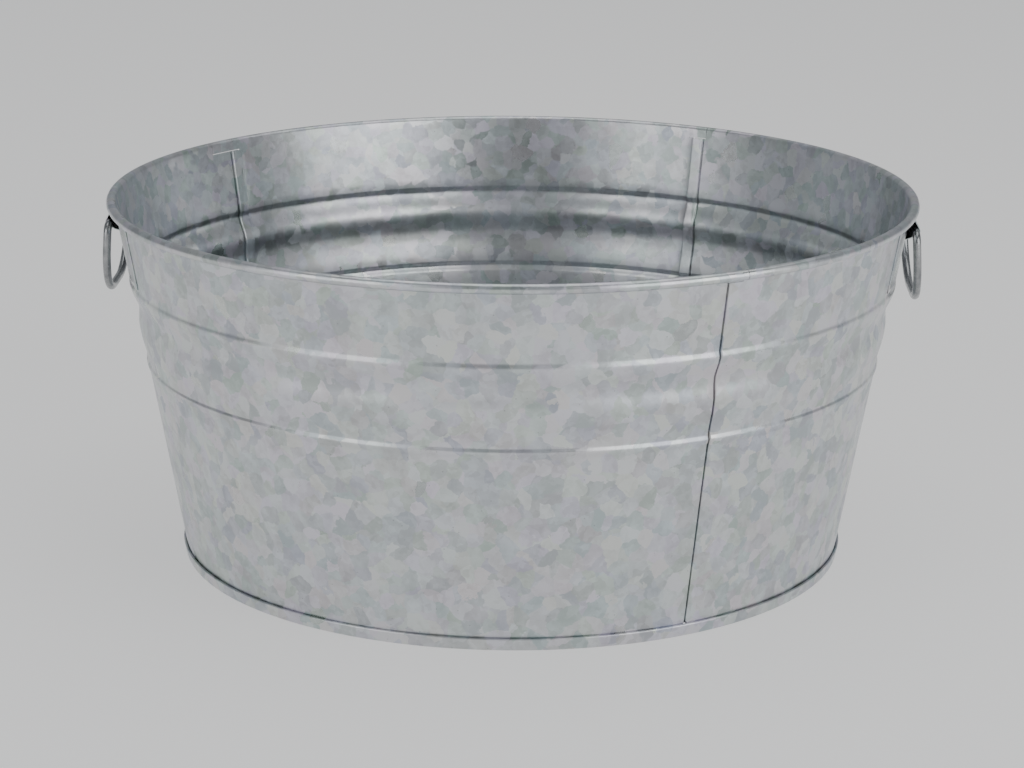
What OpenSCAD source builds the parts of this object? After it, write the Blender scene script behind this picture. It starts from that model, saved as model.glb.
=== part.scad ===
// Round galvanized wash tub: three wall sheets locked together by folded seams, a wired rim,
// a bottom pan joined by a double seam, two ear plates and two drop ring handles.
// Millimetres, +Z up, origin at the bottom centre. The handles stand at +X and -X, the front is -Y.
// Azimuths are in degrees from the front (-Y) towards +X.

/* [Tub] */
// Outside diameter over the rolled rim
rim_diameter = 600; // [540:5:660]
// Height from the floor to the top of the rim
tub_height = 271.5; // [255:0.5:300]
// Sideways run of the wall for each millimetre of height
wall_slope = 0.178; // [0.14:0.002:0.21]
// Thickness of the galvanized sheet
sheet = 0.6; // [0.5:0.05:0.7]
// Space between pressed layers of sheet
layer_gap = 0.1; // [0.06:0.01:0.14]
// Diameter of the wire rolled into the rim
rim_wire_diameter = 5.6; // [5:0.2:6.4]

/* [Rolled beads, distances down from the rim top] */
// Crest of the upper bead
upper_crest_drop = 61.5; // [60:0.5:63]
// How far the upper bead stands out
upper_crest_rise = 1.6; // [1:0.1:2.2]
// Deepest line of the groove under it
groove_drop = 78; // [74:0.5:82]
// Depth of the groove
groove_depth = 1.8; // [1:0.1:2.4]
// Middle of the broad swell under the groove
swell_drop = 96.5; // [93:0.5:100]
// How far the swell stands out
swell_rise = 0.9; // [0.5:0.1:1.4]
// Top of the lower bead
lower_dip_drop = 116.5; // [114:0.5:118]
// How far the wall dips over the lower bead
lower_dip_depth = 0.35; // [0.1:0.05:0.6]
// Crest of the lower bead
lower_crest_drop = 122.2; // [121:0.2:124]
// How far the lower bead stands out
lower_crest_rise = 1.1; // [0.6:0.1:1.6]

/* [Wall seams] */
// Width of the folded seams
seam_width = 8.5; // [6:0.5:11]
// Width of the open crevice beside each seam
crevice = 1.2; // [0.8:0.1:2]
// Azimuth of the front right seam edge
seam_right = 31.2; // [25:0.1:37]
// Azimuth of the back right seam edge
seam_back = 150.8; // [144:0.1:156]
// Azimuth of the back left seam edge
seam_left = 231.1; // [224:0.1:236]
// How far the rim butt lies past the back left seam edge, degrees
rim_butt_left = 5.7; // [2:0.1:8]
// Diameter of the punch marks in the seams
punch_diameter = 2.4; // [1.6:0.2:3]
// Depth of the punch marks
punch_depth = 0.3; // [0.2:0.05:0.4]

/* [Bottom] */
// Height of the double seam round the bottom
chime_height = 9; // [7:0.5:12]
// Height of the bottom panel above the floor
panel_height = 9.4; // [7.5:0.1:12.5]

/* [Ears] */
// Thickness of the ear plates
plate = 0.7; // [0.5:0.05:0.9]
// Distance from the rim top to the top of the plates
plate_top_drop = 9; // [8:0.5:11]
// Distance from the rim top to the lower edge of the plates
plate_bottom_drop = 56.2; // [50:0.2:56.2]
// Half width of the plates at the top
plate_half_top = 95; // [80:0.5:105]
// Half width of the plates at the lower edge
plate_half_bottom = 91; // [75:0.5:100]
// How far the loop lies off the middle of its plate
loop_offset = 8.5; // [0:0.5:12]
// Length of the embossed loop
loop_length = 76; // [60:1:80]
// Clearance round the bar in the loop
bar_clearance = 0.4; // [0.35:0.05:0.8]
// Distance from the rim top to the middle of the bar
bar_drop = 20; // [19:0.5:22]

/* [Ring handles] */
// Diameter of the handle wire
handle_wire = 6; // [5:0.2:6.4]
// Half length of the straight bar
bar_half = 46; // [44:0.5:50]
// Bend radius at the ends of the bar, to the middle of the wire
corner_radius = 6; // [5:0.5:8]
// Length of the straight sides
side_length = 9; // [4:0.5:16]
// Bend radius of the lower corners
bottom_radius = 38; // [26:1:44]
// Outward lean of the hanging rings from straight down, degrees
ring_lean = 3.7; // [0:0.1:10]

/* [Output] */
// Sub-part drawn

/* [Hidden] */
$fn = 120;
steel = "#b9bec2";
wire_steel = "#8f9293";

// Rim roll and wall cone, the cone's inner face running tangent into the roll
lean_factor = sqrt(1 + wall_slope * wall_slope);
roll_bore = rim_wire_diameter / 2 + layer_gap;
roll_r = roll_bore + sheet;
roll_z = tub_height - roll_r;
roll_centre = rim_diameter / 2 - roll_r;
h_sheet = sheet * lean_factor;
pitch = (sheet + layer_gap) * lean_factor;
split_z = tub_height - 8.5;
function cone(z) = roll_centre - roll_r * lean_factor + h_sheet - wall_slope * (roll_z - z);

// Bead heights and offsets, bottom to top
keys = [
  [tub_height - lower_crest_drop - 5, 0],
  [tub_height - lower_crest_drop, lower_crest_rise],
  [tub_height - lower_dip_drop - 2.2, -lower_dip_depth],
  [tub_height - lower_dip_drop, -lower_dip_depth],
  [tub_height - swell_drop - 1.5, swell_rise],
  [tub_height - swell_drop + 1.5, swell_rise],
  [tub_height - groove_drop, -groove_depth],
  [tub_height - upper_crest_drop, upper_crest_rise],
  [tub_height - upper_crest_drop + 5, 0]
];
function blend(a, b, t) = a[1] + (b[1] - a[1]) * (1 - cos(180 * t)) / 2;
function steps(i) = ceil((keys[i + 1][0] - keys[i][0]) / 2.8);
bead_line = concat(
  [for (i = [0:len(keys) - 2]) for (j = [0:steps(i) - 1])
    let (t = j / steps(i)) [keys[i][0] + (keys[i + 1][0] - keys[i][0]) * t, blend(keys[i], keys[i + 1], t)]],
  [keys[len(keys) - 1]]);
function bead(z, i = 0) = z <= keys[0][0] || i > len(keys) - 2 ? 0
  : z <= keys[i + 1][0] ? blend(keys[i], keys[i + 1], (z - keys[i][0]) / (keys[i + 1][0] - keys[i][0]))
  : bead(z, i + 1);
function reversed(v) = [for (i = [len(v) - 1:-1:0]) v[i]];
function face(off, z0, z1) = concat(
  [[cone(z0) + off, z0]],
  [for (p = bead_line) [cone(p[0]) + p[1] + off, p[0]]],
  [[cone(z1) + off, z1]]);

// Seam angles
degree = 180 / (PI * 271);
seam = seam_width * degree;
gap_angle = 0.14 * degree;
crevice_angle = crevice * degree;
fold = sheet * degree;
nip = 0.03;
seam_foot = max(chime_height, panel_height) + 0.5;
seam_top = split_z - 0.5;

module sector(a, b) {
  rotate([0, 0, min(a, b) - 90]) rotate_extrude(angle = abs(b - a)) children();
}

// Section of a sheet: hook at the foot, beaded wall, and the edge rolled round the rim wire
module sheet_section() {
  foot = sheet + layer_gap;
  hook = chime_height - foot;
  centre = [roll_centre, roll_z];
  tangent = [-1 / lean_factor, wall_slope / lean_factor];
  turn = atan2(tangent[1], tangent[0]) - 8;
  inside = [cos(turn), sin(turn)];
  union() {
    translate(centre) difference() {
      circle(roll_r);
      circle(roll_bore);
      polygon([[0, 0], 8 * tangent, [-8, -2], 8 * [cos(215), sin(215)]]);
    }
    polygon(concat(
      [[cone(foot) - h_sheet, foot],
       [cone(foot) + 2 * pitch, foot],
       [cone(hook) + 2 * pitch, hook],
       [cone(hook) + 2 * pitch - h_sheet, hook],
       [cone(foot + sheet) + 2 * pitch - h_sheet, foot + sheet]],
      face(0, foot + sheet, split_z),
      [centre + (roll_bore + nip) * tangent,
       centre + (roll_bore + sheet / 3) * inside,
       centre + (roll_r - sheet / 3) * inside,
       centre + (roll_r - nip) * tangent],
      reversed(face(-h_sheet, foot + sheet, split_z))));
  }
}

// Trims the roll where a wall runs on under its neighbour's roll
module roll_trim(a, b) {
  sector(a, b) translate([roll_centre - 30, split_z - layer_gap]) square([60, 30]);
}

// Trims the wall where a roll runs on over its neighbour's wall
module wall_trim(a, b) {
  sector(a, b) translate([roll_centre - 120, -5]) square([140, split_z + 5]);
}

// One sheet over its wall and roll, which may end at different azimuths
module sheet_body(wall_from, wall_to, roll_from, roll_to) {
  difference() {
    sector(min(wall_from, roll_from), max(wall_to, roll_to)) sheet_section();
    if (wall_from < roll_from) roll_trim(wall_from - 1, roll_from);
    if (wall_from > roll_from) wall_trim(roll_from - 1, wall_from);
    if (wall_to > roll_to) roll_trim(roll_to, wall_to + 1);
    if (wall_to < roll_to) wall_trim(wall_to, roll_to + 1);
  }
}

// One pressed layer of a seam, between two depths under the outer face
module layer(a, b, outer, inner, longer = 0) {
  foot = seam_foot - longer;
  top = seam_top + longer;
  sector(a, b) polygon(concat(face(-outer, foot, top), reversed(face(-inner, foot, top))));
}

// Folded edge of the sheet that lies outermost; side is +1 when its wall runs on to higher azimuths
module outer_fold(edge, side) {
  layer(edge + side * gap_angle / 3, edge + side * fold, h_sheet / 2, 2 * pitch + h_sheet + nip, nip);
  layer(edge + side * fold / 2, edge + side * (seam - fold - gap_angle), 2 * pitch, 2 * pitch + h_sheet);
}

// Stepped and folded edge of the sheet that lies innermost
module inner_fold(edge, side) {
  start = edge - side * crevice_angle;
  end = edge + side * seam;
  layer(start - side * fold, start + side * gap_angle / 3, h_sheet / 2, 3 * pitch + h_sheet + nip, nip);
  layer(start - side * fold / 2, end - side * fold / 2, 3 * pitch, 3 * pitch + h_sheet);
  layer(end - side * fold, end, pitch - nip, 3 * pitch + h_sheet + nip, nip);
  layer(edge + side * (fold + gap_angle), end - side * fold / 2, pitch, pitch + h_sheet);
}

module punch(azimuth, z, r, depth) {
  rotate([0, 0, azimuth - 90]) translate([r - depth, 0, z]) rotate([0, 90, 0])
    cylinder(d = punch_diameter, h = 2 * depth, $fn = 32);
}

butt_right = seam_right + seam + 0.3;
butt_back = seam_back - seam - 0.1;
butt_left = seam_left + rim_butt_left;
butt_gap = 0.3 * degree;

module front_wall_sheet() color(steel) {
  union() {
    sheet_body(seam_left, 360 + seam_right - crevice_angle, butt_left, 360 + butt_right - butt_gap);
    outer_fold(seam_left, 1);
    inner_fold(360 + seam_right, 1);
  }
}

module right_wall_sheet() color(steel) {
  difference() {
    union() {
      sheet_body(seam_right, seam_back, butt_right, butt_back - butt_gap);
      outer_fold(seam_right, 1);
      outer_fold(seam_back, -1);
    }
    punch(seam_right + seam / 2, tub_height - 12.8, cone(tub_height - 12.8), punch_depth);
  }
}

module back_wall_sheet() color(steel) {
  inner = 3 * pitch + h_sheet;
  difference() {
    union() {
      sheet_body(seam_back + crevice_angle, seam_left - crevice_angle, butt_back, butt_left - butt_gap);
      inner_fold(seam_back, -1);
      inner_fold(seam_left, 1);
    }
    for (drop = [10.5, 44.5, 61.5, 96.5])
      punch(seam_back - seam / 2, tub_height - drop,
        cone(tub_height - drop) + bead(tub_height - drop) - inner, punch_depth);
  }
}

module rim_wire() color(wire_steel)
  rotate_extrude() translate([roll_centre, roll_z]) circle(d = rim_wire_diameter);

// Panel, chuck wall inside the body, base, seaming wall and the hook tucked behind the body's hook
module bottom_pan() color(steel) {
  top = panel_height + sheet;
  hook_foot = 2 * (sheet + layer_gap);
  rotate_extrude() polygon([
    [0, panel_height],
    [cone(panel_height) - pitch - h_sheet, panel_height],
    [cone(0) - pitch - h_sheet, 0],
    [cone(0) + 3 * pitch, 0],
    [cone(chime_height) + 3 * pitch, chime_height],
    [cone(chime_height) + pitch - h_sheet, chime_height],
    [cone(hook_foot) + pitch - h_sheet, hook_foot],
    [cone(hook_foot) + pitch, hook_foot],
    [cone(chime_height - sheet) + pitch, chime_height - sheet],
    [cone(chime_height - sheet) + 3 * pitch - h_sheet, chime_height - sheet],
    [cone(sheet) + 3 * pitch - h_sheet, sheet],
    [cone(sheet) - pitch, sheet],
    [cone(top) - pitch, top],
    [0, top]]);
}

// Bar place worked out from the plate face it hangs against
bar_z = tub_height - bar_drop;
plate_face = layer_gap + plate;
bar_x = cone(bar_z) + plate_face * lean_factor + handle_wire / 2 + bar_clearance;
loop_bore = handle_wire / 2 + bar_clearance;
loop_r = loop_bore + plate;

module wall_cone(off) {
  z0 = tub_height - 70;
  z1 = tub_height - 4;
  translate([0, 0, z0]) cylinder(r1 = cone(z0) + off * lean_factor, r2 = cone(z1) + off * lean_factor, h = z1 - z0);
}

// Section of the loop, tear-drop shaped: slanting out from the plate, round the bar and back
module loop_section(r, top) {
  tip = [cone(top) - bar_x, top - bar_z];
  reach = norm(tip);
  turn = atan2(tip[1], tip[0]) - acos(r / reach);
  union() {
    circle(r);
    polygon([[0, 0], r * [cos(turn), sin(turn)], tip, [tip[0] - 6, tip[1]], [-14, -r], [0, -r]]);
  }
}

module right_ear() color(steel) {
  top = tub_height - plate_top_drop;
  bottom = tub_height - plate_bottom_drop;
  difference() {
    union() {
      intersection() {
        wall_cone(plate_face);
        translate([0, loop_offset, 0]) rotate([90, 0, 90]) linear_extrude(height = rim_diameter / 2) polygon([
          [-plate_half_bottom, bottom],
          [plate_half_bottom, bottom],
          [plate_half_top, top],
          [-plate_half_top, top]]);
      }
      difference() {
        translate([bar_x, loop_length / 2, bar_z]) rotate([90, 0, 0]) linear_extrude(height = loop_length)
          loop_section(loop_r, top);
        difference() {
          translate([bar_x, loop_length, bar_z]) rotate([90, 0, 0]) linear_extrude(height = 2 * loop_length)
            loop_section(loop_bore, top - 1.6);
          wall_cone(plate_face);
        }
      }
    }
    wall_cone(layer_gap);
  }
}

module left_ear() rotate([0, 0, 180]) right_ear();

// Ring drawn hanging straight down from the middle of its bar, in the Y-Z plane
half_width = bar_half + corner_radius;
side_foot = -(corner_radius + side_length);
ring_drop = bottom_radius - side_foot;

// Quarter bend in the Y-Z plane round a centre, starting at angle a measured from +Y towards +Z
module bend(y, z, r, a) {
  translate([0, y, z]) rotate([90, 0, 90]) rotate([0, 0, a])
    rotate_extrude(angle = 90) translate([r, 0]) circle(d = handle_wire, $fn = 48);
}

module rod(y, z, turn, length) {
  translate([0, y, z]) rotate(turn) cylinder(d = handle_wire, h = length, $fn = 48);
}

module right_handle() color(wire_steel)
  translate([bar_x, 0, bar_z]) rotate([0, -ring_lean, 0]) union() {
    rod(-bar_half, 0, [-90, 0, 0], 2 * bar_half);
    bend(bar_half, -corner_radius, corner_radius, 0);
    rod(half_width, side_foot, [0, 0, 0], side_length);
    bend(half_width - bottom_radius, side_foot, bottom_radius, -90);
    rod(bottom_radius - half_width, -ring_drop, [-90, 0, 0], 2 * (half_width - bottom_radius));
    bend(bottom_radius - half_width, side_foot, bottom_radius, 180);
    rod(-half_width, side_foot, [0, 0, 0], side_length);
    bend(-bar_half, -corner_radius, corner_radius, 90);
  }

module left_handle() rotate([0, 0, 180]) right_handle();

front_wall_sheet();
right_wall_sheet();
back_wall_sheet();
rim_wire();
bottom_pan();
left_ear();
right_ear();
left_handle();
right_handle();
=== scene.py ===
import math

import bpy
from mathutils import Matrix, Vector


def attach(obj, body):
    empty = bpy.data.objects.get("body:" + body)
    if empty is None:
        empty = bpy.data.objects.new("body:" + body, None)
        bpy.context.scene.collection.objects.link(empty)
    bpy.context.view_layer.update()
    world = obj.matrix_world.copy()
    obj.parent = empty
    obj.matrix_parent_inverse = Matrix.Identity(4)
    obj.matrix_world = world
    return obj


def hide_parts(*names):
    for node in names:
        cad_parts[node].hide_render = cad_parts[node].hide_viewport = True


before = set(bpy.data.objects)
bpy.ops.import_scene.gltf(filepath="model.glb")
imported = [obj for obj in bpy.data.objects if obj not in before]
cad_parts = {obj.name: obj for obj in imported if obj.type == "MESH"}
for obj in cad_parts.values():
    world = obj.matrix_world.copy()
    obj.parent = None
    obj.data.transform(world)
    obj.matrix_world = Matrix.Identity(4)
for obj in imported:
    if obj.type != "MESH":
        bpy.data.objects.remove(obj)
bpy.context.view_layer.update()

# Camera. It stands where the photograph was taken from, 2.2 m in front of the tub and 0.73 m up.
# The ears lie on the X axis and the photographer stood 1.7 degrees to their right.
CAMERA_AZIMUTH = math.radians(1.7)
CAMERA_PITCH = math.radians(15.654)
CAMERA_ROLL = math.radians(0.303)
FOCAL_PIXELS = 3000
IMAGE_WIDTH = 1024

sideways = Vector((1, 0, 0))
upwards = Vector((0, math.sin(CAMERA_PITCH), math.cos(CAMERA_PITCH)))
backwards = Vector((0, -math.cos(CAMERA_PITCH), math.sin(CAMERA_PITCH)))
level_right = sideways * math.cos(CAMERA_ROLL) + upwards * math.sin(CAMERA_ROLL)
level_up = upwards * math.cos(CAMERA_ROLL) - sideways * math.sin(CAMERA_ROLL)
stance = Matrix((level_right, level_up, backwards)).transposed().to_4x4()
bpy.ops.object.camera_add()
camera = bpy.context.object
camera.data.sensor_width = 36
camera.data.lens = FOCAL_PIXELS * camera.data.sensor_width / IMAGE_WIDTH
camera.data.clip_end = 200
camera.matrix_world = (Matrix.Rotation(CAMERA_AZIMUTH, 4, "Z")
                       @ Matrix.Translation((0, -2.186, 0.7337)) @ stance)
bpy.context.scene.camera = camera


# Studio. A white floor without end, a large soft box to the right of the photographer,
# a smaller one to the left, a ceiling diffuser, and a dim room behind the camera.
def add(tree, kind, inputs=None, **settings):
    """Adds a node to the tree, with its settings, its values and its links."""
    new = tree.nodes.new(kind)
    for name, value in settings.items():
        setattr(new, name, value)
    for name, value in (inputs or {}).items():
        if isinstance(value, bpy.types.NodeSocket):
            tree.links.new(value, new.inputs[name])
        else:
            new.inputs[name].default_value = value
    return new


def linear(hex_colour):
    """Turns an sRGB hex colour into Blender's linear RGBA."""
    channels = [int(hex_colour[i:i + 2], 16) / 255 for i in (1, 3, 5)]
    return [c / 12.92 if c <= 0.04045 else ((c + 0.055) / 1.055) ** 2.4 for c in channels] + [1]


def new_material(name):
    """An empty node material and its output node."""
    material = bpy.data.materials.new(name)
    material.use_nodes = True
    material.node_tree.nodes.clear()
    return material, material.node_tree


FLOOR_SIZE = 60
FLOOR_GLOW = 0.55
bpy.ops.mesh.primitive_plane_add(size=FLOOR_SIZE)
floor = bpy.context.object
floor.name = "floor"
paper, tree = new_material("white_floor_paper")
path = add(tree, "ShaderNodeLightPath")
seen = add(tree, "ShaderNodeMath", {0: path.outputs["Is Camera Ray"], 1: path.outputs["Is Glossy Ray"]},
           operation="MAXIMUM")
seen = add(tree, "ShaderNodeMath", {0: seen.outputs[0], 1: path.outputs["Is Transmission Ray"]},
           operation="MAXIMUM")
share = add(tree, "ShaderNodeMath", {0: seen.outputs[0], 1: FLOOR_GLOW}, operation="MULTIPLY")
dull = add(tree, "ShaderNodeBsdfDiffuse", {"Color": linear("#fafafa")})
glow = add(tree, "ShaderNodeEmission", {"Color": linear("#ffffff"), "Strength": 1.0})
blend = add(tree, "ShaderNodeMixShader", {0: share.outputs[0], 1: dull.outputs[0], 2: glow.outputs[0]})
add(tree, "ShaderNodeOutputMaterial", {"Surface": blend.outputs[0]})
floor.data.materials.append(paper)

world = bpy.data.worlds.new("studio")
world.use_nodes = True
world.node_tree.nodes.clear()
room = add(world.node_tree, "ShaderNodeBackground", {"Color": linear("#96999c"), "Strength": 1.0})
add(world.node_tree, "ShaderNodeOutputWorld", {"Surface": room.outputs[0]})
bpy.context.scene.world = world


def soft_box(name, azimuth, distance, height, width, tall, radiance, colour="#ffffff"):
    """A rectangular area light aimed at the tub; azimuth is from the front towards +X."""
    bearing = math.radians(azimuth)
    bpy.ops.object.light_add(type="AREA")
    light = bpy.context.object
    light.name = name
    light.data.shape = "RECTANGLE"
    light.data.size = width
    light.data.size_y = tall
    light.data.energy = radiance * math.pi * width * tall
    light.data.color = linear(colour)[:3]
    light.location = (distance * math.sin(bearing), -distance * math.cos(bearing), height)
    aim = Vector((0, 0, 0.15)) - light.location
    light.rotation_euler = aim.to_track_quat("-Z", "Y").to_euler()
    light.visible_camera = False


soft_box("right_soft_box", 50, 1.9, 0.75, 1.7, 1.5, 2.3)
soft_box("left_soft_box", -45, 1.9, 0.75, 1.2, 1.5, 1.6)
soft_box("ceiling_diffuser", 150, 0.4, 2.4, 2.4, 2.4, 1.1)


# Wall sheets. Three sheets of 0.6 mm galvanized steel, rolled with beads and bent round.
# Their upright edges are folded into each other and their upper edges wrapped round the rim wire.
MM = 0.001
RIM_RADIUS = 300
TUB_HEIGHT = 271.5
WALL_SLOPE = 0.178
SHEET = 0.6
LAYER_GAP = 0.1
ROLL_RADIUS = 3.5
LEAN = math.hypot(1, WALL_SLOPE)
ROLL_HEIGHT = TUB_HEIGHT - ROLL_RADIUS
ROLL_CENTRE = RIM_RADIUS - ROLL_RADIUS
PITCH = (SHEET + LAYER_GAP) * LEAN
HALF_SHEET = SHEET * LEAN / 2
ROLL_FOOT = TUB_HEIGHT - 8.5
SEAM_FOOT = 9.9
SEAM_TOP = ROLL_FOOT - 0.5
SEAM_WIDTH = 8.5
CREVICE = 1.2
DEGREE = math.degrees(1 / 271)
SEAM_RIGHT = 31.2
SEAM_BACK = 150.8
SEAM_LEFT = 231.1
BUTT_RIGHT = SEAM_RIGHT + SEAM_WIDTH * DEGREE + 0.3
BUTT_BACK = SEAM_BACK - SEAM_WIDTH * DEGREE - 0.1
BUTT_LEFT = SEAM_LEFT + 5.7
BUTT_GAP = 0.3 * DEGREE
BEAD_KEYS = [(144.3, 0), (149.3, 1.1), (152.8, -0.35), (155, -0.35), (173.5, 0.9), (176.5, 0.9),
             (193.5, -1.8), (210, 1.6), (215, 0)]
FOLD_RADIUS = PITCH


def cone(z):
    """Radius of the wall's outer face without its beads."""
    return ROLL_CENTRE - ROLL_RADIUS * LEAN + 2 * HALF_SHEET - WALL_SLOPE * (ROLL_HEIGHT - z)


def bead(z):
    """How far the beads push the wall out at a height."""
    for (low, a), (high, b) in zip(BEAD_KEYS, BEAD_KEYS[1:]):
        if low <= z <= high:
            return a + (b - a) * (1 - math.cos(math.pi * (z - low) / (high - low))) / 2
    return 0


def rows(low, high, step):
    """Evenly spaced heights from low up to, but not including, high."""
    count = max(1, round((high - low) / step))
    return [low + (high - low) * i / count for i in range(count)]


def arc(centre, radius, start, end, count):
    """Points on an arc, both ends included, with angles in degrees from +r towards +z."""
    turns = [math.radians(start + (end - start) * i / count) for i in range(count + 1)]
    return [(centre[0] + radius * math.cos(t), centre[1] + radius * math.sin(t)) for t in turns]


def chain(name, points):
    """A chain of edges through points (r, z), in millimetres, in the plane of +X and Z."""
    bpy.ops.object.select_all(action="DESELECT")
    bpy.ops.mesh.primitive_grid_add(x_subdivisions=1, y_subdivisions=len(points) - 1, size=1)
    piece = bpy.context.object
    piece.name = name
    pick(piece, lambda co: co.x > 0)
    bpy.ops.object.mode_set(mode="EDIT")
    bpy.ops.mesh.delete(type="VERT")
    bpy.ops.object.mode_set(mode="OBJECT")
    for vertex, (r, z) in zip(piece.data.vertices, points):
        vertex.co = (r * MM, 0, z * MM)
    return piece


def pick(piece, test):
    """Selects the vertices whose place passes the test, and nothing else."""
    for group in (piece.data.polygons, piece.data.edges):
        for item in group:
            item.select = False
    for vertex in piece.data.vertices:
        vertex.select = test(vertex.co)


def azimuth_of(co):
    """Azimuth of a point in degrees, 0 to 360, from the front towards +X."""
    return math.degrees(math.atan2(co.x, -co.y)) % 360


def near(co, azimuth):
    """Whether a point stands at an azimuth."""
    return abs((azimuth_of(co) - azimuth + 180) % 360 - 180) < 0.004


def spin(piece, sweep, pitch_angle):
    """Spins the selected chain round the tub's axis by sweep degrees, towards higher azimuths."""
    bpy.ops.object.mode_set(mode="EDIT")
    bpy.ops.mesh.spin(steps=max(1, round(abs(sweep) / pitch_angle)), angle=-math.radians(sweep),
                      center=(0, 0, 0), axis=(0, 0, 1))
    bpy.ops.object.mode_set(mode="OBJECT")


def tidy_mesh(piece):
    """Merges doubles and turns the faces the same way."""
    pick(piece, lambda co: True)
    bpy.ops.object.mode_set(mode="EDIT")
    bpy.ops.mesh.remove_doubles(threshold=0.002 * MM)
    bpy.ops.mesh.normals_make_consistent(inside=False)
    bpy.ops.object.mode_set(mode="OBJECT")


def finish_modifier(piece, kind, **settings):
    """Adds one modifier and applies it."""
    modifier = piece.modifiers.new(kind.title(), kind)
    for name, value in settings.items():
        setattr(modifier, name, value)
    bpy.ops.object.modifier_apply(modifier=modifier.name)


def sheet_section():
    """Middle line of a wall sheet: hook at the foot, wall with its beads, roll round the rim wire."""
    hook = lambda z: cone(z) + 2 * PITCH - HALF_SHEET
    wall = lambda z: cone(z) + bead(z) - HALF_SHEET
    heights = [2, 5] + rows(SEAM_FOOT, BEAD_KEYS[0][0], 7)
    heights += rows(BEAD_KEYS[0][0], 158, 0.9) + rows(158, 184, 2.2) + rows(184, BEAD_KEYS[-1][0], 1.2)
    heights += rows(BEAD_KEYS[-1][0], SEAM_TOP, 6) + [SEAM_TOP, ROLL_FOOT]
    start = 180 - math.degrees(math.atan(WALL_SLOPE))
    return ([(hook(8), 8), (hook(4), 4), (hook(1.4), 1.4), (hook(1) - 0.4, 1), (wall(1) + 0.5, 1)]
            + [(wall(z), z) for z in heights]
            + arc((ROLL_CENTRE, ROLL_HEIGHT), ROLL_RADIUS - SHEET / 2, start, -145, 44))


def upright(azimuth):
    """Outward and onward directions at an azimuth."""
    turn = math.radians(azimuth)
    return Vector((math.sin(turn), -math.cos(turn), 0)), Vector((math.cos(turn), math.sin(turn), 0))


def fold_edge(piece, azimuth, side, path):
    """Extrudes the sheet's end column along a path of (onward, inward) millimetres."""
    outward, onward = upright(azimuth)
    pick(piece, lambda co: near(co, azimuth) and SEAM_FOOT - 0.01 <= co.z / MM <= SEAM_TOP + 0.01
         and math.hypot(co.x, co.y) / MM < cone(co.z / MM) + 3)
    bpy.ops.object.mode_set(mode="EDIT")
    here = (0, 0)
    for there in path:
        step = onward * side * (there[0] - here[0]) - outward * (there[1] - here[1])
        bpy.ops.mesh.extrude_region_move(TRANSFORM_OT_translate={"value": step * MM})
        here = there
    bpy.ops.object.mode_set(mode="OBJECT")


def outer_fold(piece, edge, side):
    """Folds the edge of the outermost sheet back under itself, away from the crevice."""
    bend = [(-FOLD_RADIUS * math.sin(math.radians(t)), FOLD_RADIUS * (1 - math.cos(math.radians(t))))
            for t in range(30, 181, 30)]
    run = SEAM_WIDTH - FOLD_RADIUS - HALF_SHEET - 2
    back = [(run * i / 3, 2 * FOLD_RADIUS) for i in (1, 2, 3)]
    fold_edge(piece, edge + side * (FOLD_RADIUS + HALF_SHEET) * DEGREE, side, bend + back)


def inner_fold(piece, edge, side):
    """Steps the innermost sheet in beside the crevice and folds its edge up behind its neighbour."""
    depth = 3 * PITCH
    step = [(0.35, 0.1), (0.6, 0.45), (0.68, depth / 2), (0.76, depth - 0.45), (1.0, depth - 0.1), (1.35, depth)]
    end = 1.0 + CREVICE + SEAM_WIDTH - FOLD_RADIUS - HALF_SHEET
    along = [(1.35 + (end - 1.35) * i / 7, depth) for i in range(1, 8)]
    bend = [(end + FOLD_RADIUS * math.sin(math.radians(t)), depth - FOLD_RADIUS * (1 - math.cos(math.radians(t))))
            for t in range(30, 181, 30)]
    back = [(end - (end - 4.2) * i / 3, depth - 2 * FOLD_RADIUS) for i in (1, 2, 3)]
    fold_edge(piece, edge - side * (CREVICE + 1.0) * DEGREE, side, step + along + bend + back)


def wall_sheet(name, low, high, low_roll, high_roll, steps=1.25):
    """Spins a sheet between two azimuths and carries its roll or its wall on to their own ends."""
    piece = chain(name, sheet_section())
    first = max(low, low_roll)
    last = min(high, high_roll)
    turn = Matrix.Rotation(math.radians(first - 90), 3, "Z")
    for vertex in piece.data.vertices:
        vertex.co = turn @ vertex.co
    pick(piece, lambda co: True)
    spin(piece, last - first, steps)
    for end, wall_end, roll_end in ((first, low, low_roll), (last, high, high_roll)):
        is_roll = (roll_end < wall_end) if end == first else (roll_end > wall_end)
        goal = roll_end if is_roll else wall_end
        pick(piece, lambda co: near(co, end) and (co.z / MM > ROLL_FOOT - 0.01 if is_roll
                                                  else co.z / MM < SEAM_TOP + 0.01))
        spin(piece, goal - end, steps)
    return piece


def add_lumps(piece):
    """Lets the thin sheet waver by about a tenth of a millimetre, as rolled and dipped sheet does."""
    group = piece.vertex_groups.new(name="free_wall")
    for vertex in piece.data.vertices:
        height = vertex.co.z / MM
        on_wall = math.hypot(vertex.co.x, vertex.co.y) / MM < cone(height) + 1.3
        weight = min(1, max(0, (height - 12) / 20), max(0, (258 - height) / 15)) if on_wall else 0
        group.add([vertex.index], weight, "REPLACE")
    finish_modifier(piece, "DISPLACE", texture=lumps, texture_coords="LOCAL", strength=0.35 * MM,
                    mid_level=0.5, vertex_group="free_wall")


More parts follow.
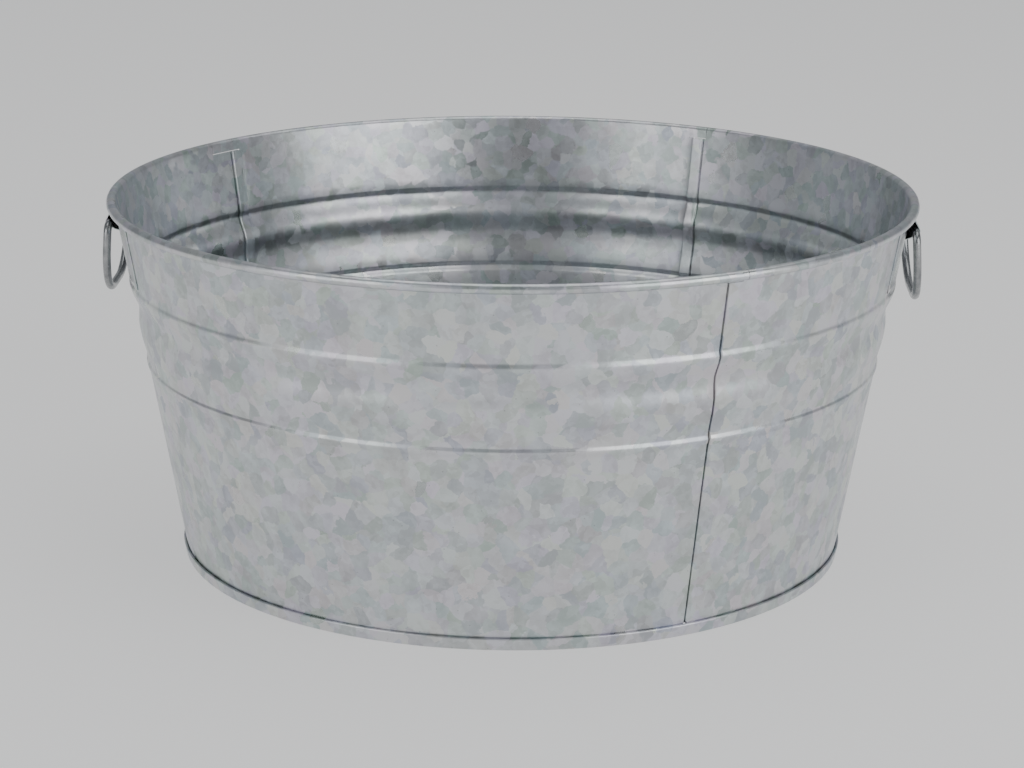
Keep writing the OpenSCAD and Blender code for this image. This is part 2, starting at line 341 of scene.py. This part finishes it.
def galvanized_sheet():
    """Hot-dipped zinc: flat crystal flakes of 5 to 15 mm in two light greys, each with its own
    gloss, faint lumps from the dip, tiny dark specks, and a satin shine with soft edges."""
    material, tree = new_material("galvanized_sheet")
    place = add(tree, "ShaderNodeTexCoord").outputs["Object"]
    warp = add(tree, "ShaderNodeTexNoise", {"Vector": place, "Scale": 70, "Detail": 3, "Roughness": 0.6})
    centred = add(tree, "ShaderNodeVectorMath", {0: warp.outputs["Color"], 1: (0.5, 0.5, 0.5)},
                  operation="SUBTRACT")
    shifted = add(tree, "ShaderNodeVectorMath", {0: centred.outputs[0], "Scale": 0.012}, operation="SCALE")
    wavy = add(tree, "ShaderNodeVectorMath", {0: place, 1: shifted.outputs[0]}, operation="ADD").outputs[0]
    flakes = add(tree, "ShaderNodeTexVoronoi", {"Vector": wavy, "Scale": 1 / 0.011})
    small = add(tree, "ShaderNodeTexVoronoi", {"Vector": wavy, "Scale": 1 / 0.0045})
    cloud = add(tree, "ShaderNodeTexNoise", {"Vector": place, "Scale": 40, "Detail": 4, "Roughness": 0.65})
    flake = add(tree, "ShaderNodeSeparateColor", {"Color": flakes.outputs["Color"]})
    grain = add(tree, "ShaderNodeSeparateColor", {"Color": small.outputs["Color"]})
    mixed = add(tree, "ShaderNodeMath", {0: flake.outputs[0], 1: 0.42, 2: cloud.outputs["Fac"]},
                operation="MULTIPLY_ADD")
    mixed = add(tree, "ShaderNodeMath", {0: grain.outputs[0], 1: 0.22, 2: mixed.outputs[0]},
                operation="MULTIPLY_ADD")
    greys = add(tree, "ShaderNodeValToRGB", {"Fac": mixed.outputs[0]})
    greys.color_ramp.elements[0].position = 0.55
    greys.color_ramp.elements[0].color = linear("#b2b5b7")
    greys.color_ramp.elements[1].position = 1.05
    greys.color_ramp.elements[1].color = linear("#cfd3d6")
    tint = add(tree, "ShaderNodeMix", {"Factor": 0.06, "A": greys.outputs[0], "B": flakes.outputs["Color"]},
               data_type="RGBA")
    speck = add(tree, "ShaderNodeTexVoronoi", {"Vector": place, "Scale": 1 / 0.009})
    dot = add(tree, "ShaderNodeMapRange", {"Value": speck.outputs["Distance"], "From Min": 0.03, "From Max": 0.06,
                                           "To Min": 0.55, "To Max": 0.0})
    marked = add(tree, "ShaderNodeMix", {"Factor": dot.outputs[0], "A": tint.outputs["Result"],
                                         "B": linear("#6d6f72")}, data_type="RGBA")
    gloss = add(tree, "ShaderNodeMapRange", {"Value": flake.outputs[2], "To Min": 0.27, "To Max": 0.4})
    dip = add(tree, "ShaderNodeTexNoise", {"Vector": place, "Scale": 95, "Detail": 2, "Roughness": 0.5})
    raised = add(tree, "ShaderNodeBump", {"Height": dip.outputs["Fac"], "Distance": 0.4 * MM, "Strength": 0.35})
    tilt = add(tree, "ShaderNodeVectorMath", {0: flakes.outputs["Color"], 1: (0.5, 0.5, 0.5)},
               operation="SUBTRACT")
    tilt = add(tree, "ShaderNodeVectorMath", {0: tilt.outputs[0], "Scale": 0.05}, operation="SCALE")
    facing = add(tree, "ShaderNodeVectorMath", {0: raised.outputs[0], 1: tilt.outputs[0]}, operation="ADD")
    facing = add(tree, "ShaderNodeVectorMath", {0: facing.outputs[0]}, operation="NORMALIZE")
    shader = add(tree, "ShaderNodeBsdfPrincipled", {
        "Base Color": marked.outputs["Result"], "Metallic": 1.0, "Roughness": gloss.outputs[0],
        "Normal": facing.outputs[0]})
    add(tree, "ShaderNodeOutputMaterial", {"Surface": shader.outputs[0]})
    return material


lumps = bpy.data.textures.new("sheet_lumps", "CLOUDS")
lumps.noise_scale = 0.03
zinc = galvanized_sheet()
wall_ends = {
    "wall_front": (SEAM_LEFT + (FOLD_RADIUS + HALF_SHEET) * DEGREE, 360 + SEAM_RIGHT - (CREVICE + 1.0) * DEGREE,
                   BUTT_LEFT, 360 + BUTT_RIGHT - BUTT_GAP),
    "wall_right": (SEAM_RIGHT + (FOLD_RADIUS + HALF_SHEET) * DEGREE, SEAM_BACK - (FOLD_RADIUS + HALF_SHEET) * DEGREE,
                   BUTT_RIGHT, BUTT_BACK - BUTT_GAP),
    "wall_back": (SEAM_BACK + (CREVICE + 1.0) * DEGREE, SEAM_LEFT - (CREVICE + 1.0) * DEGREE,
                  BUTT_BACK, BUTT_LEFT - BUTT_GAP),
}
wall_folds = {
    "wall_front": [(outer_fold, SEAM_LEFT, 1), (inner_fold, SEAM_RIGHT, 1)],
    "wall_right": [(outer_fold, SEAM_RIGHT, 1), (outer_fold, SEAM_BACK, -1)],
    "wall_back": [(inner_fold, SEAM_BACK, -1), (inner_fold, SEAM_LEFT, 1)],
}
for name, ends in wall_ends.items():
    wall = wall_sheet(name, *ends)
    tidy_mesh(wall)
    add_lumps(wall)
    for fold, edge, side in wall_folds[name]:
        fold(wall, edge, side)
    tidy_mesh(wall)
    finish_modifier(wall, "SOLIDIFY", thickness=SHEET * MM, offset=0, use_even_offset=True)
    bpy.ops.object.shade_smooth_by_angle(angle=math.radians(40))
    wall.data.materials.append(zinc)
    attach(wall, "tub")
    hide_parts(name.replace("wall_", "") + "_wall_sheet")


# Rim wire. A plain drawn wire that the sheets are rolled round; it only shows at the roll's butts.
# Its solid is kept and gets the bare grey of drawn steel with fine marks along it.
def drawn_wire(name, light, dark, low_gloss, high_gloss):
    """Drawn steel wire: smooth, with cloudy zinc and faint scuffs, so the streaks of light run
    along it and break up a little."""
    material, tree = new_material(name)
    place = add(tree, "ShaderNodeTexCoord").outputs["Object"]
    cloud = add(tree, "ShaderNodeTexNoise", {"Vector": place, "Scale": 120, "Detail": 4, "Roughness": 0.6})
    scuff = add(tree, "ShaderNodeTexNoise", {"Vector": place, "Scale": 420, "Detail": 3, "Roughness": 0.6})
    colour = add(tree, "ShaderNodeValToRGB", {"Fac": cloud.outputs["Fac"]})
    colour.color_ramp.elements[0].position = 0.35
    colour.color_ramp.elements[0].color = linear(dark)
    colour.color_ramp.elements[1].position = 0.65
    colour.color_ramp.elements[1].color = linear(light)
    gloss = add(tree, "ShaderNodeMapRange", {"Value": scuff.outputs["Fac"], "From Min": 0.3, "From Max": 0.7,
                                             "To Min": low_gloss, "To Max": high_gloss})
    raised = add(tree, "ShaderNodeBump", {"Height": scuff.outputs["Fac"], "Distance": 0.05 * MM, "Strength": 0.4})
    shader = add(tree, "ShaderNodeBsdfPrincipled", {
        "Base Color": colour.outputs[0], "Metallic": 1.0, "Roughness": gloss.outputs[0],
        "Normal": raised.outputs[0]})
    add(tree, "ShaderNodeOutputMaterial", {"Surface": shader.outputs[0]})
    return material


plain_wire = drawn_wire("drawn_rim_wire", "#8c8e90", "#747678", 0.3, 0.45)
rim_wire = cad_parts["rim_wire"]
rim_wire.data.materials.clear()
rim_wire.data.materials.append(plain_wire)


# Bottom pan. One pressed round of the same sheet: a recessed panel, a chuck wall inside the body,
# and a flange rolled up and over the wall sheets' hooks into the double seam.
CHIME_HEIGHT = 9
PANEL_HEIGHT = 9.4


def pan_section():
    """Middle line of the pan from its centre out to the hook tucked behind the body's hook."""
    chuck = lambda z: cone(z) - PITCH - HALF_SHEET
    outer = lambda z: cone(z) + 3 * PITCH - HALF_SHEET
    hook = lambda z: cone(z) + PITCH - HALF_SHEET
    middle = PANEL_HEIGHT + SHEET / 2
    low = SHEET / 2
    lip = CHIME_HEIGHT - SHEET / 2
    panel = [(r, middle) for r in (0, 40, 80, 120, 160, 200, 225, 238)]
    return (panel
            + arc((chuck(middle) - 2.2, middle - 2.2), 2.2, 90, 0, 6)
            + [(chuck(4), 4)]
            + arc((chuck(1) + 0.8, low + 0.8), 0.8, 180, 270, 5)
            + arc((outer(1) - 0.9, low + 0.9), 0.9, 270, 360, 6)
            + [(outer(3.5), 3.5), (outer(6), 6)]
            + arc((outer(lip) - PITCH, lip - PITCH), PITCH, 0, 180, 8)
            + [(hook(5), 5), (hook(2), 2)])


pan = chain("pan", pan_section())
pick(pan, lambda co: True)
spin(pan, 360, 1.25)
tidy_mesh(pan)
finish_modifier(pan, "SOLIDIFY", thickness=SHEET * MM, offset=0, use_even_offset=True)
bpy.ops.object.shade_smooth_by_angle(angle=math.radians(40))
pan.data.materials.append(zinc)
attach(pan, "tub")
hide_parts("bottom_pan")


# Ears. A curved plate of galvanized sheet lies on the wall under the rim on each side.
# Its middle is pressed out into a loop that comes down over the ring's bar and back to the plate.
PLATE = 0.7
PLATE_TOP = TUB_HEIGHT - 9
PLATE_FOOT = TUB_HEIGHT - 56.2
PLATE_HALF_TOP = 95
PLATE_HALF_FOOT = 91
LOOP_OFFSET = 8.5
LOOP_HALF = 38
HANDLE_WIRE = 6
BAR_CLEARANCE = 0.4
BAR_HEIGHT = TUB_HEIGHT - 20
BAR_OUT = cone(BAR_HEIGHT) + (LAYER_GAP + PLATE) * LEAN + HANDLE_WIRE / 2 + BAR_CLEARANCE
LOOP_RADIUS = HANDLE_WIRE / 2 + BAR_CLEARANCE + PLATE / 2


def plate_radius(z):
    """Radius of the middle of the ear plate's thickness."""
    return cone(z) + (LAYER_GAP + PLATE / 2) * LEAN


def ear(name):
    """The right-hand ear: plate spun on the wall and cut to shape, loop strap joined to it."""
    plate = chain(name, [(plate_radius(z), z) for z in rows(PLATE_FOOT, PLATE_TOP, 4) + [PLATE_TOP]])
    turn = Matrix.Rotation(math.radians(-22), 3, "Z")
    for vertex in plate.data.vertices:
        vertex.co = turn @ vertex.co
    pick(plate, lambda co: True)
    spin(plate, 44, 0.9)
    for side in (-1, 1):
        corner = Vector((0, LOOP_OFFSET + side * PLATE_HALF_FOOT, PLATE_FOOT)) * MM
        along = Vector((0, side * (PLATE_HALF_TOP - PLATE_HALF_FOOT), PLATE_TOP - PLATE_FOOT))
        outwards = Vector((0, side * along.z, -side * along.y))
        pick(plate, lambda co: True)
        bpy.ops.object.mode_set(mode="EDIT")
        bpy.ops.mesh.bisect(plane_co=corner, plane_no=outwards.normalized(), clear_outer=True)
        bpy.ops.object.mode_set(mode="OBJECT")
    tip = (plate_radius(PLATE_TOP) - BAR_OUT, PLATE_TOP - BAR_HEIGHT)
    reach = math.hypot(*tip)
    touch = math.degrees(math.atan2(tip[1], tip[0]) - math.acos(LOOP_RADIUS / reach))
    bow = arc((BAR_OUT, BAR_HEIGHT), LOOP_RADIUS, touch, -95, 26)
    slant = [(BAR_OUT + tip[0] + (bow[0][0] - BAR_OUT - tip[0]) * t, PLATE_TOP + (bow[0][1] - PLATE_TOP) * t)
             for t in (0, 0.3, 0.6)]
    back = [(BAR_OUT - 1.6, bow[-1][1] - 0.25), (BAR_OUT - 2.8, bow[-1][1] - 1.1), (BAR_OUT - 3.4, bow[-1][1] - 2.6)]
    strap = chain(name + "_loop", slant + bow + back)
    for vertex in strap.data.vertices:
        vertex.co.y = -LOOP_HALF * MM
    first = strap.data.vertices[0].co.copy()
    last = strap.data.vertices[-1].co.copy()
    pick(strap, lambda co: True)
    bpy.ops.object.mode_set(mode="EDIT")
    for _ in range(19):
        bpy.ops.mesh.extrude_region_move(TRANSFORM_OT_translate={"value": (0, 2 * LOOP_HALF * MM / 19, 0)})
    bpy.ops.object.mode_set(mode="OBJECT")
    for vertex in strap.data.vertices:
        for end in (first, last):
            if abs(vertex.co.x - end.x) < 1e-6 and abs(vertex.co.z - end.z) < 1e-6:
                vertex.co.x = math.sqrt((plate_radius(end.z / MM) * MM) ** 2 - vertex.co.y ** 2)
    for part in (plate, strap):
        bpy.ops.object.select_all(action="DESELECT")
        part.select_set(True)
        bpy.context.view_layer.objects.active = part
        tidy_mesh(part)
        finish_modifier(part, "SOLIDIFY", thickness=PLATE * MM, offset=0, use_even_offset=True)
        finish_modifier(part, "BEVEL", width=0.12 * MM, segments=2, limit_method="ANGLE",
                        angle_limit=math.radians(50))
    plate.select_set(True)
    bpy.context.view_layer.objects.active = plate
    bpy.ops.object.join()
    bpy.ops.object.shade_smooth_by_angle(angle=math.radians(40))
    return plate


def half_turn(piece):
    """Carries a right-hand piece round to the left side, in its mesh."""
    for vertex in piece.data.vertices:
        vertex.co = (-vertex.co.x, -vertex.co.y, vertex.co.z)


for side in ("right", "left"):
    plate = ear("ear_" + side)
    if side == "left":
        half_turn(plate)
    plate.data.materials.append(zinc)
    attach(plate, "tub")
    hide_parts(side + "_ear")


# Ring handles. Each is one 6 mm galvanized wire bent to a D and closed inside its loop.
# The wire is smoother and darker than the sheet, with long streaks of light along it.
BAR_HALF = 46
CORNER_RADIUS = 6
SIDE_LENGTH = 9
BOTTOM_RADIUS = 38
RING_LEAN = math.radians(3.7)


def bend_wire(centre, steps):
    """Spins the wire's open end a quarter turn round a centre in the ring's plane."""
    bpy.ops.mesh.spin(steps=steps, angle=math.radians(90), center=(0, centre[0] * MM, centre[1] * MM),
                      axis=(1, 0, 0))


def run_wire(y, z, count=1):
    """Extrudes the wire's open end straight on."""
    for _ in range(count):
        bpy.ops.mesh.extrude_region_move(TRANSFORM_OT_translate={"value": (0, y * MM / count, z * MM / count)})


def ring(name):
    """The right-hand ring, bent from the middle of its bar all the way round."""
    width = BAR_HALF + CORNER_RADIUS
    foot = -(CORNER_RADIUS + SIDE_LENGTH)
    bpy.ops.object.select_all(action="DESELECT")
    bpy.ops.mesh.primitive_circle_add(vertices=24, radius=HANDLE_WIRE / 2 * MM, rotation=(math.pi / 2, 0, 0))
    wire = bpy.context.object
    wire.name = name
    bpy.ops.object.transform_apply(location=True, rotation=True, scale=True)
    pick(wire, lambda co: True)
    bpy.ops.object.mode_set(mode="EDIT")
    run_wire(BAR_HALF, 0, 4)
    bend_wire((BAR_HALF, -CORNER_RADIUS), 12)
    run_wire(0, -SIDE_LENGTH, 2)
    bend_wire((width - BOTTOM_RADIUS, foot), 30)
    run_wire(-2 * (width - BOTTOM_RADIUS), 0, 4)
    bend_wire((BOTTOM_RADIUS - width, foot), 30)
    run_wire(0, SIDE_LENGTH, 2)
    bend_wire((-BAR_HALF, -CORNER_RADIUS), 12)
    run_wire(BAR_HALF, 0, 4)
    bpy.ops.object.mode_set(mode="OBJECT")
    tidy_mesh(wire)
    wire.rotation_euler = (0, -RING_LEAN, 0)
    wire.location = (BAR_OUT * MM, 0, BAR_HEIGHT * MM)
    bpy.ops.object.transform_apply(location=True, rotation=True, scale=True)
    bpy.ops.object.shade_smooth()
    return wire


handle_wire = drawn_wire("galvanized_handle_wire", "#a3a4a5", "#858789", 0.16, 0.3)
for side in ("right", "left"):
    wire = ring("ring_" + side)
    if side == "left":
        half_turn(wire)
    wire.data.materials.append(handle_wire)
    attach(wire, side + "_ring")
    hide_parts(side + "_handle")
